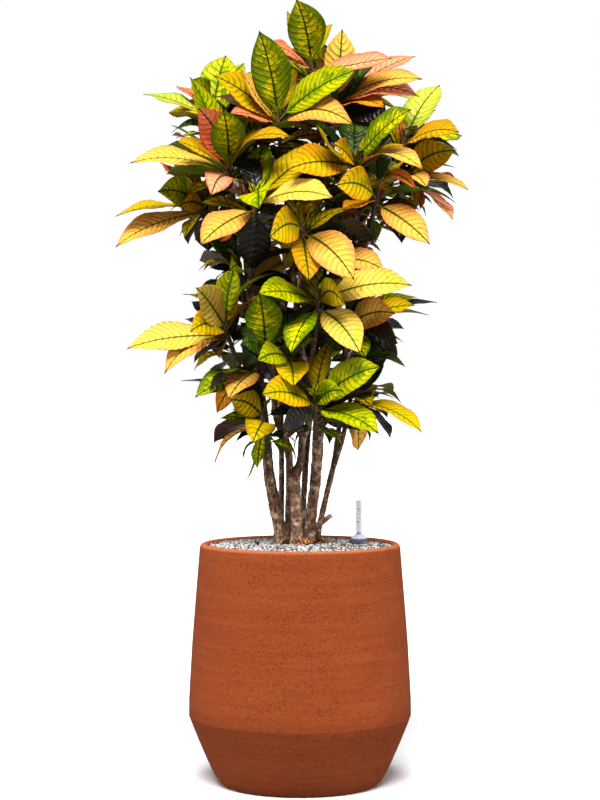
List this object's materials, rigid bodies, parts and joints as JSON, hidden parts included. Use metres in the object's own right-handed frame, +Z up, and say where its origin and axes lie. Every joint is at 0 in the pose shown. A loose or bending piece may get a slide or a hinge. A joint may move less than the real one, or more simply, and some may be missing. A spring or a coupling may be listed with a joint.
{
  "type": "potted croton",
  "caption": "Croton shrub with several woody stems and whorls of broad yellow, green and orange leaves, in a round shouldered clay pot with white gravel and a water gauge.",
  "frame": {"origin": "middle of the pot's foot, on the ground it stands on", "axes": "+Z up along the pot's axis, -Y to the front, +X to the right seen from the front"},
  "size_m": [0.575, 0.4807, 1.295],
  "materials": {
    "terracotta_clay": "matt fired clay, fine turning lines and small pits",
    "substrate": "dark crumbly peat and bark",
    "white_gravel": "loose white and pale grey gravel",
    "clear_plastic": "clear, slightly frosted",
    "frosted_plastic": "translucent, darker at the foot",
    "red_plastic": "glossy red",
    "croton_bark": "rough brown bark with pale lichen patches",
    "leaf_lime": "glossy living leaf, lime with green veins",
    "leaf_yellow": "glossy living leaf, yellow with green veins",
    "leaf_gold": "glossy living leaf, gold with dark veins",
    "leaf_pale": "glossy living leaf, pale yellow",
    "leaf_peach": "glossy living leaf, peach with pink margins",
    "leaf_salmon": "glossy living leaf, salmon and orange",
    "leaf_green": "glossy living leaf, mottled green",
    "leaf_dark": "glossy living leaf, dark green to black"
  },
  "bodies": {
    "root": {"pot": "terracotta_clay", "growing_substrate": "substrate", "gravel_topping": "white_gravel", "gauge_tube": "clear_plastic", "gauge_collar": "frosted_plastic", "gauge_sleeve": "clear_plastic", "gauge_float": "red_plastic", "stem_left": "croton_bark", "stem_back": "croton_bark", "stem_centre": "croton_bark", "stem_inner": "croton_bark", "stem_right": "croton_bark", "stem_slender": "croton_bark", "leafy_shoot_lower_01": "leaf_pale", "leafy_shoot_lower_02": "leaf_dark", "leafy_shoot_lower_03": "leaf_gold", "leafy_shoot_lower_04": "leaf_lime", "leafy_shoot_lower_05": "leaf_gold", "leafy_shoot_lower_06": "leaf_peach", "leafy_shoot_lower_07": "leaf_yellow", "leafy_shoot_lower_08": "leaf_dark", "leafy_shoot_lower_09": "leaf_gold", "leafy_shoot_lower_10": "leaf_yellow", "leafy_shoot_lower_11": "leaf_gold", "leafy_shoot_rear_01": "leaf_lime", "leafy_shoot_rear_02": "leaf_yellow", "leafy_shoot_rear_03": "leaf_green", "leafy_shoot_rear_04": "leaf_gold", "leafy_shoot_rear_05": "leaf_lime", "leafy_shoot_rear_06": "leaf_green", "leafy_shoot_rear_07": "leaf_gold", "leafy_shoot_rear_08": "leaf_yellow", "leafy_shoot_rear_09": "leaf_lime", "leafy_shoot_rear_10": "leaf_green", "leafy_shoot_upper_01": "leaf_gold", "leafy_shoot_upper_02": "leaf_lime", "leafy_shoot_upper_03": "leaf_salmon", "leafy_shoot_upper_04": "leaf_gold", "leafy_shoot_upper_05": "leaf_yellow", "leafy_shoot_upper_06": "leaf_lime", "leafy_shoot_upper_07": "leaf_peach", "leafy_shoot_upper_08": "leaf_yellow", "leafy_shoot_upper_09": "leaf_green", "leafy_shoot_upper_10": "leaf_peach", "leafy_shoot_upper_11": "leaf_gold", "leafy_shoot_upper_12": "leaf_lime"}
  },
  "joints": []
}
